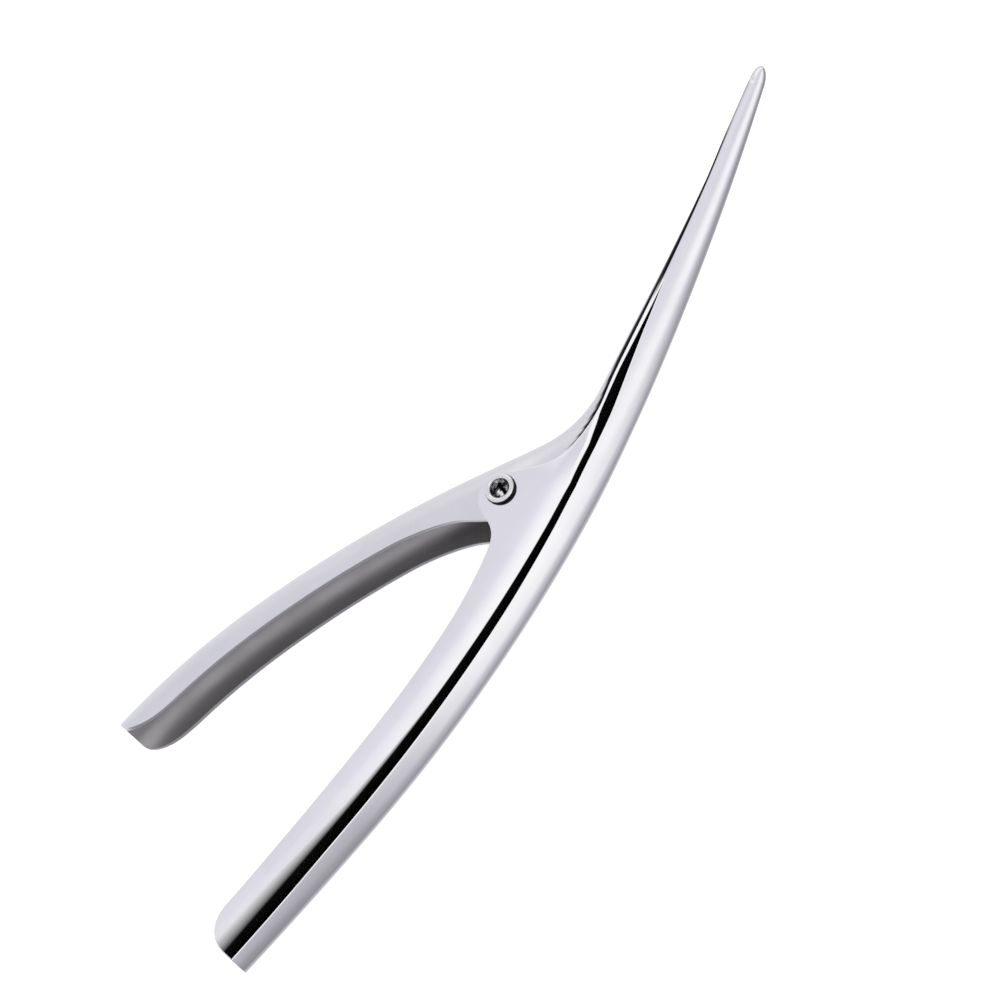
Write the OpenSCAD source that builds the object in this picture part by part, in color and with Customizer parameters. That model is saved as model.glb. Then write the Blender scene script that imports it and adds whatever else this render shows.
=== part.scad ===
// Shell opener for shrimp and lobster: two pressed sheet levers, a tubular rivet and a torsion spring.
// It lies on its side. The origin is on the pivot axis, at the flat land of the rivet's head.
// +Z runs up the pivot axis, +X along the long lever to the beak's tip, +Y towards the second lever.
// The beak is closed and the handles are spread, as the spring leaves them.

/* [Sheet and widths] */
// Thickness of the pressed sheet
sheet = 0.9; // [0.8:0.05:1]
// Outer width of the long lever at its handle
long_w = 14.2; // [13.8:0.1:15]
// Gap between the walls of the two levers, on each side
side_gap = 0.2; // [0.15:0.05:0.3]

/* [Beak] */
// Outer radius of the beak where it leaves the lugs, 26 mm from the pivot
beak_root_r = 4.75; // [4.5:0.05:5]
// How much the beak's radius falls for each millimetre of length
beak_taper = 0.048; // [0.045:0.001:0.049]
// How much slimmer again the beak gets over its last 14 mm, on radius
beak_slim = 0.2; // [0.1:0.05:0.3]
// Where the closed nose of the beak begins, from the pivot
nose_x = 90.1; // [89:0.1:91]
// Length of the closed nose
nose_len = 3.4; // [3:0.1:3.6]
// Length of the second lever's beak, from the pivot
second_len = 85.6; // [84:0.2:85.8]

/* [Handles] */
// Height of the long handle's free edges above the middle of its half pipe
long_edge = 1; // [0.6:0.1:1.4]
// Height of the second handle's free edges beyond the middle of its half pipe
second_edge = 1; // [0.6:0.1:1.4]
// Length of the rounded corners at the long handle's end
long_corner = 7; // [5:0.5:8]
// Length of the rounded corners at the second handle's end
second_corner = 10; // [8:0.5:11]

/* [Pivot rivet] */
// Diameter of the rivet's shank
shank_d = 4.8; // [4.4:0.1:5]
// Clearance between the shank and the holes in the levers, on radius
pivot_gap = 0.05; // [0.03:0.01:0.08]
// Diameter of the pressed head, on the side it lies on
head_d = 7.4; // [7:0.1:8]
// Thickness of the pressed head
head_t = 1.2; // [1:0.1:1.4]
// Diameter of the rolled rim at the tubular end
rim_d = 5.8; // [5.6:0.1:6.2]
// Height of the rolled rim
rim_h = 1; // [0.8:0.1:1.2]
// Diameter of the hole in the tubular end
hole_d = 3.6; // [3.4:0.1:3.8]
// Depth of that hole
hole_deep = 3.3; // [3:0.1:3.6]

/* [Spring] */
// Diameter of the spring's wire
wire_d = 1.2; // [1:0.1:1.3]
// Radius of the coil, to the middle of the wire
coil_r = 3.4; // [3.3:0.1:3.6]
// Height of the coil, from the middle of the first turn to the middle of the last
coil_h = 7.4; // [7:0.1:7.6]

/* [Hidden] */
$fn = 48;

long_r = long_w / 2;
mid_z = head_t + long_r;
second_r = long_r - sheet - side_gap;
bore_r = shank_d / 2 + pivot_gap;

// A back line is a start point, a heading in degrees, and arcs of [length, turn in degrees].
long_start = [-97.8, -2.6, -13];
long_arcs = [[33, 2.4], [100, 20.2], [60, 7]];
long_pivot_s = 98.8;
second_start = [-69.4, 45.3, -12.8];
second_arcs = [[33, -13.9], [48, -11.9], [12.4, 2.3], [14, 41.7], [22, 0.2], [56, 6]];
second_pivot_s = 84.4;

// Free edges of the long lever: [distance from the pivot, height above the middle of the half pipe].
long_edges = [
    [-92, long_edge - 0.8], [-76, long_edge - 0.4], [-58, long_edge], [-40, long_edge], [-24, 1.3],
    [-15, 2.1], [-10, 2.9], [-7.6, 3.9], [-6, 5.6], [-4.9, 7.8], [-3.2, 9.8], [-0.6, 10.6],
    [1.8, 9.8], [4, 7.4], [6.2, 4.6], [8.6, 1.7], [11.5, -0.1], [16, -0.6], [22, -0.2],
    [30, 0.6], [45, 0.8], [70, 0.9], [82, 1.05], [87, 1.05], [95, 0.9]
];
// The same for the second lever, whose open side faces the long one.
second_edges = [
    [-60, second_edge], [-24, second_edge], [-16, 1.7], [-10, 3], [-5.5, 5], [-2.5, 6.2],
    [0, 6.5], [3, 6.1], [6, 5], [10, 3.5], [16, 2.1], [22, 1.4], [30, 1.1], [60, 0.8], [95, 0.2]
];

function smooth(u) = let (c = min(1, max(0, u))) c * c * (3 - 2 * c);
function mix(a, b, u) = a + (b - a) * u;
function hermite(a, b, ma, mb, u) =
    a * (2 * pow(u, 3) - 3 * u * u + 1) + b * (3 * u * u - 2 * pow(u, 3))
    + ma * (pow(u, 3) - 2 * u * u + u) + mb * (pow(u, 3) - u * u);

// Smooth curve through a list of [x, y], level at both ends.
function slope(pts, i) = i <= 0 || i >= len(pts) - 1 ? 0
    : (pts[i + 1][1] - pts[i - 1][1]) / (pts[i + 1][0] - pts[i - 1][0]);
function curve(pts, x, i = 0) =
    x <= pts[0][0] ? pts[0][1]
    : i >= len(pts) - 1 ? pts[i][1]
    : x > pts[i + 1][0] ? curve(pts, x, i + 1)
    : let (w = pts[i + 1][0] - pts[i][0])
      hermite(pts[i][1], pts[i + 1][1], slope(pts, i) * w, slope(pts, i + 1) * w, (x - pts[i][0]) / w);

// Point and heading [x, y, heading] at length s along a chain of arcs.
function along_arc(p, arc, s) = let (turn = arc[1] * s / arc[0], r = arc[0] / arc[1] * 180 / PI)
    [p[0] + r * (sin(p[2] + turn) - sin(p[2])), p[1] - r * (cos(p[2] + turn) - cos(p[2])), p[2] + turn];
function along(p, arcs, s, i = 0) =
    i == len(arcs) - 1 || s <= arcs[i][0] ? along_arc(p, arcs[i], s)
    : along(along_arc(p, arcs[i], arcs[i][0]), arcs, s - arcs[i][0], i + 1);

// Half width and sheet thickness of each lever, x millimetres from the pivot.
function beak_r(x) = beak_root_r - beak_taper * (x - 26) - beak_slim * smooth((x - 76) / 14);
function long_half(x) = mix(long_r, beak_r(x), smooth((x - 3) / 21));
function long_sheet(x) = min(sheet, 0.3 * long_half(x));
function second_half(x) =
    mix(second_r, 0.87 * (long_half(x) - long_sheet(x)) - 0.06, smooth((x - 3) / 8));
function second_sheet(x) = min(sheet, 0.45 * second_half(x));

// Over the last len millimetres of a handle its free edge falls away in a quarter ellipse.
// d is the distance in from the handle's end.
function corner(d, len, half) = let (u = max(0, 1 - d / len)) (half - 1.7) * (1 - sqrt(1 - u * u));

// Half-pipe section. Its outer and inner skins are arcs that end in straight walls of height h.
ARC_STEPS = 16;
function rim_half(r, h) = h >= 0 ? r : sqrt(r * r - h * h);
function arc_end(r, h) = h > 0.3 ? 90 : 0.96 * acos(max(0, -h) / r);
function skin(r, half, h) = concat(
    [[half + h, -rim_half(r, h)]],
    [for (i = [0:ARC_STEPS]) let (a = arc_end(r, h) * (2 * i / ARC_STEPS - 1))
        [half - r * cos(a), r * sin(a)]],
    [[half + h, rim_half(r, h)]]
);
function reversed(list) = [for (i = [len(list) - 1:-1:0]) list[i]];
function section(half, t, h) = concat(skin(half, half, h), reversed(skin(half - t, half, h)));

// A section stands square to the back line at p, open to the left (side 1) or the right (side -1).
function place(p, side, pts) = [
    for (q = pts) [p[0] - side * q[0] * sin(p[2]), p[1] + side * q[0] * cos(p[2]), mid_z + q[1]]
];

// Closed solid through rings of equal size. Ends of a folded sheet are capped across its thickness.
function wall_faces(rings, n) = [
    for (i = [0:rings - 2], k = [0:n - 1]) let (a = i * n + k, b = i * n + (k + 1) % n)
        each [[a, b, a + n], [b, b + n, a + n]]
];
function cap_faces(first, n) = [
    for (k = [0:n / 2 - 2]) let (a = first + k, b = first + n - 1 - k)
        each [[a, b, a + 1], [a + 1, b, b - 1]]
];
function turned(faces) = [for (f = faces) [f[2], f[1], f[0]]];

module folded_sheet(rings, flip) {
    n = len(rings[0]);
    last = (len(rings) - 1) * n;
    faces = concat(wall_faces(len(rings), n), cap_faces(0, n), turned(cap_faces(last, n)));
    polyhedron(points = [for (r = rings) each r], faces = flip ? turned(faces) : faces, convexity = 8);
}

// Places of the sections: close together at the handle's end and round the lugs.
function stations(back, front) = concat(
    [for (d = [0, 0.3, 1, 2, 3.4, 5, 7, 10]) d - back],
    [for (i = [1:7]) mix(10 - back, -26, i / 7)],
    [-22, -18, -15, -12.5, -10.5, -9, -7.8, -6.8, -6, -5.2, -4.4, -3.4, -2.2, -0.8, 0.8, 2.2, 3.4, 4.4],
    [5.4, 6.4, 7.6, 9, 10.6, 12.5, 15, 18, 22, 26.5],
    [for (i = [1:9]) mix(26.5, front, i / 9)]
);

module main_lever() {
    back = long_pivot_s;
    rings = [
        for (x = stations(back, nose_x + 1))
            place(along(long_start, long_arcs, x + back), 1,
                section(long_half(x), long_sheet(x),
                    curve(long_edges, x) - corner(x + back, long_corner, long_half(x))))
    ];
    tip = along(long_start, long_arcs, nose_x + back);
    half = long_half(nose_x);
    nose_r = half + 0.03;
    color([0.80, 0.80, 0.84]) {
        difference() {
            folded_sheet(rings, false);
            cylinder(h = 3 * mid_z, r = bore_r);
        }
        translate([tip[0] - half * sin(tip[2]), tip[1] + half * cos(tip[2]), mid_z])
            rotate([0, 90, tip[2]])
                rotate_extrude()
                    polygon(concat([[0, 0]], [for (a = [0:10:90]) [nose_r * cos(a), nose_len * sin(a)]]));
    }
}

module second_lever() {
    back = second_pivot_s;
    rings = [
        for (s = stations(back, second_len)) let (p = along(second_start, second_arcs, s + back))
            place(p, -1,
                section(second_half(p[0]), second_sheet(p[0]),
                    curve(second_edges, s) - corner(s + back, second_corner, second_half(p[0]))))
    ];
    color([0.74, 0.74, 0.76])
        difference() {
            folded_sheet(rings, true);
            cylinder(h = 3 * mid_z, r = bore_r);
        }
}

module pivot_rivet() {
    top = head_t + long_w;
    roll = (rim_d - hole_d) / 4;
    skirt = 0.45;
    color([0.70, 0.70, 0.72])
        rotate_extrude()
            polygon(concat(
                [[0, 0], [head_d / 2 - 1, 0]],
                [for (a = [-60:30:0]) [head_d / 2 - 1 + cos(a), 0.8 + 0.8 * sin(a)]],
                [[head_d / 2, head_t], [shank_d / 2, head_t], [shank_d / 2, top], [rim_d / 2, top]],
                [for (a = [0:15:180])
                    [hole_d / 2 + roll + roll * cos(a), top + skirt + (rim_h - skirt) * sin(a)]],
                [[hole_d / 2, top + rim_h - hole_deep], [0, top + rim_h - hole_deep - 0.8]]
            ));
}

// The wire comes in along the second lever, winds clockwise down round the rivet
// and leaves along the long lever.
WIRE_SIDES = 8;
RINGS_PER_TURN = 14;
leg_in = [-11.2, 13.2];
leg_out = [-19, -10.8];
turn_in = 47.5;
turn_out = -65;
turns = 5;
sweep = 360 * turns + turn_in - turn_out;

function coil_point(u) = let (a = turn_in - sweep * u)
    [coil_r * cos(a), coil_r * sin(a), mid_z + coil_h * (0.5 - u)];
function spring_line() = let (n = ceil(sweep / 360 * RINGS_PER_TURN)) concat(
    [[leg_in[0], leg_in[1], mid_z + coil_h / 2]],
    [for (i = [0:n]) coil_point(i / n)],
    [[leg_out[0], leg_out[1], mid_z - coil_h / 2]]
);
function unit(v) = v / norm(v);
function wire_ring(line, i) =
    let (
        d = unit(line[min(i + 1, len(line) - 1)] - line[max(i - 1, 0)]),
        side = unit(cross(d, [0, 0, 1])),
        up = cross(side, d)
    )
    [for (k = [0:WIRE_SIDES - 1]) let (a = 360 * k / WIRE_SIDES)
        line[i] + wire_d / 2 * (side * cos(a) + up * sin(a))];

module torsion_spring() {
    line = spring_line();
    rings = [for (i = [0:len(line) - 1]) wire_ring(line, i)];
    last = (len(line) - 1) * WIRE_SIDES;
    ends = [[for (k = [0:WIRE_SIDES - 1]) k], [for (k = [WIRE_SIDES - 1:-1:0]) last + k]];
    color([0.55, 0.56, 0.58])
        polyhedron(
            points = [for (r = rings) each r],
            faces = concat(wall_faces(len(rings), WIRE_SIDES), [for (e = ends) reversed(e)]),
            convexity = 8
        );
}

main_lever();
second_lever();
pivot_rivet();
torsion_spring();
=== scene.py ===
"""Looks of a sprung shell opener: two pressed steel levers, a rolled rivet and a coil spring.

Laid out as an add-on, and run as a script: each part of the tool is one operator in the sidebar.
"""

import math

import bpy
from mathutils import Matrix, Vector


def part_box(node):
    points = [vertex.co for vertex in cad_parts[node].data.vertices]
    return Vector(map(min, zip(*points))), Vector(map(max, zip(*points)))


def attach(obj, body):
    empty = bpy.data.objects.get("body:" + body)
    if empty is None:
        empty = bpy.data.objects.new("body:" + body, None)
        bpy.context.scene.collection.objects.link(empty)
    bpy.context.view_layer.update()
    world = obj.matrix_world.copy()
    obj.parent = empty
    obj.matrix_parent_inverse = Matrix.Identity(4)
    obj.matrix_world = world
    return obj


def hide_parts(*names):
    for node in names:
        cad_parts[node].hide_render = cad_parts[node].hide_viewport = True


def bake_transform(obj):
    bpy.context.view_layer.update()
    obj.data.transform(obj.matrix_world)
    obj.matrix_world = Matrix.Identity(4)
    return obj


bl_info = {
    "name": "Shell Opener",
    "version": (1, 0, 0),
    "blender": (4, 5, 0),
    "location": "View3D > Sidebar > Shell Opener",
    "description": "Builds a sprung steel shell opener around its CAD frame, with its studio",
    "category": "Object",
}

MM = 0.001
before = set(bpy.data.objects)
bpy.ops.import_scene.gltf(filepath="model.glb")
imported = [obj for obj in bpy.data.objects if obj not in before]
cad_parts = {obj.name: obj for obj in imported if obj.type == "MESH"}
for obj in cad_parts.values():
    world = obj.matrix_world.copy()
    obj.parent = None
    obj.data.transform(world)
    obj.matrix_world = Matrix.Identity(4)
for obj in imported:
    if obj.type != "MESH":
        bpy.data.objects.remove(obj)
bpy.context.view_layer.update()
RIVET_LOW, RIVET_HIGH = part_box("pivot_rivet")
LONG_LOW, LONG_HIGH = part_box("main_lever")
MID_Z = (LONG_LOW.z + LONG_HIGH.z) / 2 / MM  # height of the tool's middle plane, in millimetres


# ---------------------------------------------------------------- sizes and colours a user may change


class LeverSizes(bpy.types.PropertyGroup):
    """Sizes of the two pressed levers."""

    gauge: bpy.props.FloatProperty(
        name="Sheet thickness",
        description="Thickness of the steel sheet, in millimetres",
        default=0.9, min=0.5, max=1.5,
    )
    handle_width: bpy.props.FloatProperty(
        name="Handle width",
        description="Outer width of the long handle, in millimetres",
        default=(LONG_HIGH.z - LONG_LOW.z) / MM, min=10, max=20,
    )
    side_gap: bpy.props.FloatProperty(
        name="Side gap",
        description="Gap between the walls of the two levers, in millimetres",
        default=0.2, min=0.1, max=0.5,
    )
    edge_rounding: bpy.props.FloatProperty(
        name="Edge rounding",
        description="Radius of the tumbled edges of the sheet, in millimetres",
        default=0.15, min=0.02, max=0.3,
    )


class RivetSizes(bpy.types.PropertyGroup):
    """Sizes of the rivet."""

    shank: bpy.props.FloatProperty(
        name="Shank diameter",
        description="Diameter of the rivet's shank, in millimetres",
        default=4.8, min=3, max=6,
    )
    head: bpy.props.FloatProperty(
        name="Head diameter",
        description="Diameter of the pressed head, in millimetres",
        default=(RIVET_HIGH.x - RIVET_LOW.x) / MM, min=5, max=9,
    )
    rim: bpy.props.FloatProperty(
        name="Rim diameter",
        description="Diameter of the rolled rim, in millimetres",
        default=5.8, min=4, max=7,
    )
    hole: bpy.props.FloatProperty(
        name="Hole diameter",
        description="Diameter of the hole in the rolled end, in millimetres",
        default=3.6, min=2, max=4,
    )


class SpringSizes(bpy.types.PropertyGroup):
    """Sizes of the spring."""

    wire: bpy.props.FloatProperty(
        name="Wire diameter",
        description="Diameter of the spring's wire, in millimetres",
        default=1.2, min=0.6, max=1.5,
    )
    coil_radius: bpy.props.FloatProperty(
        name="Coil radius",
        description="Radius of the coil to the middle of the wire, in millimetres",
        default=3.4, min=3, max=4,
    )
    coil_height: bpy.props.FloatProperty(
        name="Coil height",
        description="Height of the coil between the middles of its end turns, in millimetres",
        default=7.4, min=5, max=9,
    )


class SteelFinish(bpy.types.PropertyGroup):
    """Colours and polish of the steel."""

    polished: bpy.props.FloatVectorProperty(
        name="Polished steel",
        description="Colour of the mirror-polished long lever",
        default=(0.93, 0.925, 0.95), size=3, min=0, max=1, subtype="COLOR",
    )
    satin: bpy.props.FloatVectorProperty(
        name="Satin steel",
        description="Colour of the satin second lever",
        default=(0.82, 0.82, 0.84), size=3, min=0, max=1, subtype="COLOR",
    )
    # Darker than the outer steels partly because the unpolished face is dull, and partly as painted shade
    # of the levers' hollows.
    inside: bpy.props.FloatVectorProperty(
        name="Inside of the sheet",
        description="Colour of the unpolished inner face of both levers",
        default=(0.44, 0.425, 0.425), size=3, min=0, max=1, subtype="COLOR",
    )
    turned: bpy.props.FloatVectorProperty(
        name="Rivet steel",
        description="Colour of the rivet",
        default=(0.88, 0.88, 0.88), size=3, min=0, max=1, subtype="COLOR",
    )
    wire: bpy.props.FloatVectorProperty(
        name="Spring wire",
        description="Colour of the spring's wire",
        default=(0.52, 0.52, 0.54), size=3, min=0, max=1, subtype="COLOR",
    )


class StudioLook(bpy.types.PropertyGroup):
    """The floor, the light and the camera."""

    floor: bpy.props.FloatVectorProperty(
        name="Floor",
        description="Colour of the floor",
        default=(0.95, 0.95, 0.95), size=3, min=0, max=1, subtype="COLOR",
    )
    sky: bpy.props.FloatProperty(
        name="Room light",
        description="Strength of the soft light from all round",
        default=1.0, min=0, max=4,
    )
    view_width: bpy.props.FloatProperty(
        name="View width",
        description="Width of the camera's view at the tool",
        default=0.1799, min=0.1, max=1, unit="LENGTH",
    )
    camera_distance: bpy.props.FloatProperty(
        name="Camera distance",
        description="Distance from the camera to the rivet",
        default=5.0, min=1, max=10, unit="LENGTH",
    )


# ---------------------------------------------------------------- small helps for modelling


def clear_selection():
    """Nothing is selected, and Blender is in object mode."""
    if bpy.context.object and bpy.context.object.mode != "OBJECT":
        bpy.ops.object.mode_set(mode="OBJECT")
    bpy.ops.object.select_all(action="DESELECT")


def take(name):
    """The primitive just added, under its own name."""
    piece = bpy.context.object
    piece.name = piece.data.name = name
    return piece


def choose(piece):
    """One piece is selected and active, and nothing else."""
    clear_selection()
    bpy.context.view_layer.objects.active = piece
    piece.select_set(True)


def edit(piece, kind="VERT"):
    """Edit mode on one piece, with all of it selected."""
    choose(piece)
    bpy.ops.object.mode_set(mode="EDIT")
    bpy.ops.mesh.select_mode(type=kind)
    bpy.ops.mesh.select_all(action="SELECT")


def done():
    bpy.ops.object.mode_set(mode="OBJECT")


def shape_with(piece, kind, **settings):
    """Adds one modifier, sets it and applies it."""
    choose(piece)
    bpy.ops.object.modifier_add(type=kind)
    step = piece.modifiers[-1]
    for key, value in settings.items():
        setattr(step, key, value)
    bpy.ops.object.modifier_apply(modifier=step.name)


def smooth(piece, angle=35):
    choose(piece)
    bpy.ops.object.shade_smooth_by_angle(angle=math.radians(angle))


def settle(piece):
    """The piece's place and turn go into its mesh."""
    choose(piece)
    bpy.ops.object.transform_apply(location=True, rotation=True, scale=True)


def turn_up(name, profile, sides=96):
    """A turned solid: rings of a circle drawn up through [radius, height] points, in millimetres."""
    clear_selection()
    radius, height = profile[0]
    bpy.ops.mesh.primitive_circle_add(
        vertices=sides, radius=radius * MM, location=(0, 0, height * MM), fill_type="NGON"
    )
    piece = take(name)
    settle(piece)
    edit(piece)
    for step_radius, step_height in profile[1:]:
        bpy.ops.mesh.extrude_edges_move(
            TRANSFORM_OT_translate={"value": (0, 0, (step_height - height) * MM)}
        )
        share = step_radius / radius
        bpy.ops.transform.resize(value=(share, share, 1), center_override=(0, 0, 0))
        radius, height = step_radius, step_height
    bpy.ops.mesh.merge(type="CENTER")
    bpy.ops.mesh.select_all(action="SELECT")
    bpy.ops.mesh.remove_doubles(threshold=1e-7)
    bpy.ops.mesh.normals_make_consistent(inside=False)
    done()
    return piece


# ---------------------------------------------------------------- the levers' own lines


def ease(u):
    u = min(1.0, max(0.0, u))
    return u * u * (3 - 2 * u)


def mix(a, b, u):
    return a + (b - a) * u


def through(points, x):
    """Height at x of a smooth curve through a list of (x, height), level at both ends."""
    if x <= points[0][0]:
        return points[0][1]
    last = len(points) - 1
    if x >= points[last][0]:
        return points[last][1]
    i = max(k for k in range(last) if points[k][0] <= x)

    def slope(k):
        if k in (0, last):
            return 0.0
        return (points[k + 1][1] - points[k - 1][1]) / (points[k + 1][0] - points[k - 1][0])

    wide = points[i + 1][0] - points[i][0]
    u = (x - points[i][0]) / wide
    return (
        points[i][1] * (2 * u**3 - 3 * u * u + 1)
        + points[i + 1][1] * (3 * u * u - 2 * u**3)
        + slope(i) * wide * (u**3 - 2 * u * u + u)
        + slope(i + 1) * wide * (u**3 - u * u)
    )


class PressedLever:
    """One lever as its blank and its press tool: a back line of arcs, and what stands on it."""

    start = (0, 0, 0)  # place and heading of the back line's first point
    arcs = ()  # (length, turn in degrees) of each arc of the back line
    pivot_at = 0  # distance of the pivot along the back line
    side = 1
    end_round = 7  # length of the handle end's rounded corners
    edges = ()  # (distance from the pivot, height of the free edges beyond the middle of the half pipe)
    knots = ()  # (share of the blank's rows, distance along the back line)
    BEAK_ROOT_R = 4.75  # outer radius of the beak where it leaves the lugs, 26 mm from the pivot
    BEAK_TAPER = 0.048  # how much the beak's radius falls for each millimetre
    BEAK_SLIM = 0.2  # how much slimmer again it gets over its last 14 mm
    BEND_SHARE = 0.7  # the share of the blank's columns that lies round the bend

    def __init__(self, sizes):
        self.gauge = sizes.gauge
        self.long_r = sizes.handle_width / 2
        self.side_gap = sizes.side_gap

    def beak_r(self, x):
        slim = self.BEAK_SLIM * ease((x - 76) / 14)
        return self.BEAK_ROOT_R - self.BEAK_TAPER * (x - 26) - slim

    def outer_half(self, x):
        """Half width of the long lever, x millimetres from the pivot."""
        return mix(self.long_r, self.beak_r(x), ease((x - 3) / 21))

    def outer_sheet(self, x):
        return min(self.gauge, 0.3 * self.outer_half(x))

    def back(self, s):
        """Point and heading at distance s along the back line."""
        x, y, turned = self.start[0], self.start[1], math.radians(self.start[2])
        for number, (length, turn) in enumerate(self.arcs):
            step = s if number == len(self.arcs) - 1 else min(s, length)
            bend = math.radians(turn) / length
            x += (math.sin(turned + bend * step) - math.sin(turned)) / bend
            y -= (math.cos(turned + bend * step) - math.cos(turned)) / bend
            turned += bend * step
            s -= step
            if s <= 0:
                break
        return x, y, turned

    def half(self, s):
        return self.outer_half(s - self.pivot_at)

    def sheet(self, s):
        return self.outer_sheet(s - self.pivot_at)

    def edge(self, s):
        """How far the free edges stand beyond the middle of the half pipe."""
        return through(self.edges, s - self.pivot_at)

    def row(self, share, across):
        """Distance along the back line of a point of the blank, whose handle end has round corners."""
        s = self.plain_row(share)
        blend = 1 - s / (2.5 * self.end_round)
        if blend <= 0:
            return s
        half = self.half(s)
        depth = self.rise(s, across)[0]
        rest = max(0.0, 1 - (half + self.edge(s) - depth) / (half - 1.7))
        return s + blend * self.end_round * (1 - math.sqrt(max(0.0, 1 - rest**2)))

    def plain_row(self, share):
        for (u0, s0), (u1, s1) in zip(self.knots, self.knots[1:]):
            if share <= u1:
                return mix(s0, s1, (share - u0) / (u1 - u0))
        return self.knots[-1][1]

    def run(self, s, across):
        """How far from the middle of the sheet a column of the blank lies."""
        half, edge = self.half(s), self.edge(s)
        whole = half * math.pi / 2 + edge if edge >= 0 else half * math.acos(-edge / half)
        wall = max(edge, 0.12 * half)
        reach = abs(across)
        if reach <= self.BEND_SHARE:
            return (whole - wall) * reach / self.BEND_SHARE
        return whole - wall + wall * (reach - self.BEND_SHARE) / (1 - self.BEND_SHARE)

    def rise(self, s, across):
        """Where a point of the blank ends up in the section: depth from the back, and height."""
        half, run = self.half(s), self.run(s, across)
        quarter = half * math.pi / 2
        if run <= quarter:
            depth, height = half * (1 - math.cos(run / half)), half * math.sin(run / half)
        else:
            depth, height = half + run - quarter, half
        return depth, math.copysign(height, across)

    def nested(self, s, across):
        """How much painted seam shade a point takes: 0 to 1."""
        return 0.0

    def point(self, s, depth, height):
        x, y, turned = self.back(s)
        return Vector((
            (x - self.side * depth * math.sin(turned)) * MM,
            (y + self.side * depth * math.cos(turned)) * MM,
            (MID_Z + height) * MM,
        ))


class LongLever(PressedLever):
    start = (-97.8, -2.6, -13)
    arcs = ((33, 2.4), (100, 20.2), (60, 7))
    pivot_at = 98.8
    side = 1
    end_round = 7
    nose_at = 90.1 + 98.8
    nose_length = 3.4
    edges = (
        (-92, 0.2), (-76, 0.6), (-58, 1), (-40, 1), (-24, 1.3), (-15, 2.1), (-10, 2.9), (-7.6, 3.9),
        (-6, 5.6), (-4.9, 7.8), (-3.2, 9.8), (-0.6, 10.6), (1.8, 9.8), (4, 7.4), (6.2, 4.6),
        (8.6, 1.7), (11.5, -0.1), (16, -0.6), (22, -0.2), (30, 0.6), (45, 0.8), (70, 0.9),
        (82, 1.05), (87, 1.05), (95, 0.9),
    )
    knots = ((0, 0), (0.1, 7), (0.36, 86), (0.68, 111), (0.78, 126), (1, 188.9))
    SEAM_SHADE_LEVEL = ((44, 0), (50, 1), (78, 0.95), (82, 0.55), (91, 0.4))  # painted shade of the seam on the beak's free edges
    SEAM_WIDTH = 0.28

    # Painted shade in a narrow band along the beak's free edges, standing in for the gap shadow at the
    # seam.
    def nested(self, s, across):
        from_edge = abs(self.run(s, 1)) - abs(self.run(s, across))
        shade_share = through(self.SEAM_SHADE_LEVEL, s - self.pivot_at)
        return shade_share * (1 - ease((from_edge - self.SEAM_WIDTH) / 0.15))


class SecondLever(PressedLever):
    start = (-69.4, 45.3, -12.8)
    arcs = ((33, -13.9), (48, -11.9), (12.4, 2.3), (14, 41.7), (22, 0.2), (56, 6))
    pivot_at = 84.4
    side = -1
    end_round = 10
    edges = (
        (-60, 1), (-24, 1), (-16, 1.7), (-10, 3), (-5.5, 5), (-2.5, 6.2),
        (0, 6.5), (3, 6.1), (6, 5), (10, 3.5), (16, 2.1), (22, 1.4), (30, 1.1), (60, 0.8), (95, 0.2),
    )
    knots = ((0, 0), (0.12, 10), (0.36, 70), (0.72, 112), (1, 170))
    SEAM_START = 12  # where the seam between the two levers begins, from the pivot
    SEAM_WIDTH = ((12, 1.1), (20, 1.45), (34, 1.9), (46, 1.6), (70, 1.1), (86, 0.9))

    def __init__(self, sizes):
        super().__init__(sizes)
        self.outer = LongLever(sizes)

    def half(self, s):
        x = self.back(s)[0]
        inside = 0.87 * (self.outer_half(x) - self.outer_sheet(x)) - 0.06
        return mix(self.long_r - self.gauge - self.side_gap, inside, ease((x - 3) / 8))

    def sheet(self, s):
        return min(self.gauge, 0.45 * self.half(s))

    # Painted shade on the second lever along the long lever's edge, up to a width beyond it, standing in
    # for the gap shadow.
    def nested(self, s, across):
        x, y = self.point(s, *self.rise(s, across)).xy / MM
        outer = self.outer
        if x < self.SEAM_START:
            return 0.0
        low, high = 0.0, outer.nose_at
        for _ in range(30):
            middle = (low + high) / 2
            low, high = (middle, high) if outer.back(middle)[0] < x else (low, middle)
        _, back_y, turned = outer.back(low)
        depth = (y - back_y) / math.cos(turned)
        beyond = depth - outer.half(low) - outer.edge(low)
        width = through(self.SEAM_WIDTH, x)
        seam = mix(0.25, 1, ease((beyond + 0.7) / 0.4))
        return seam * ease((x - self.SEAM_START) / 2) * (1 - ease((beyond - width) / 0.25))


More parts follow.
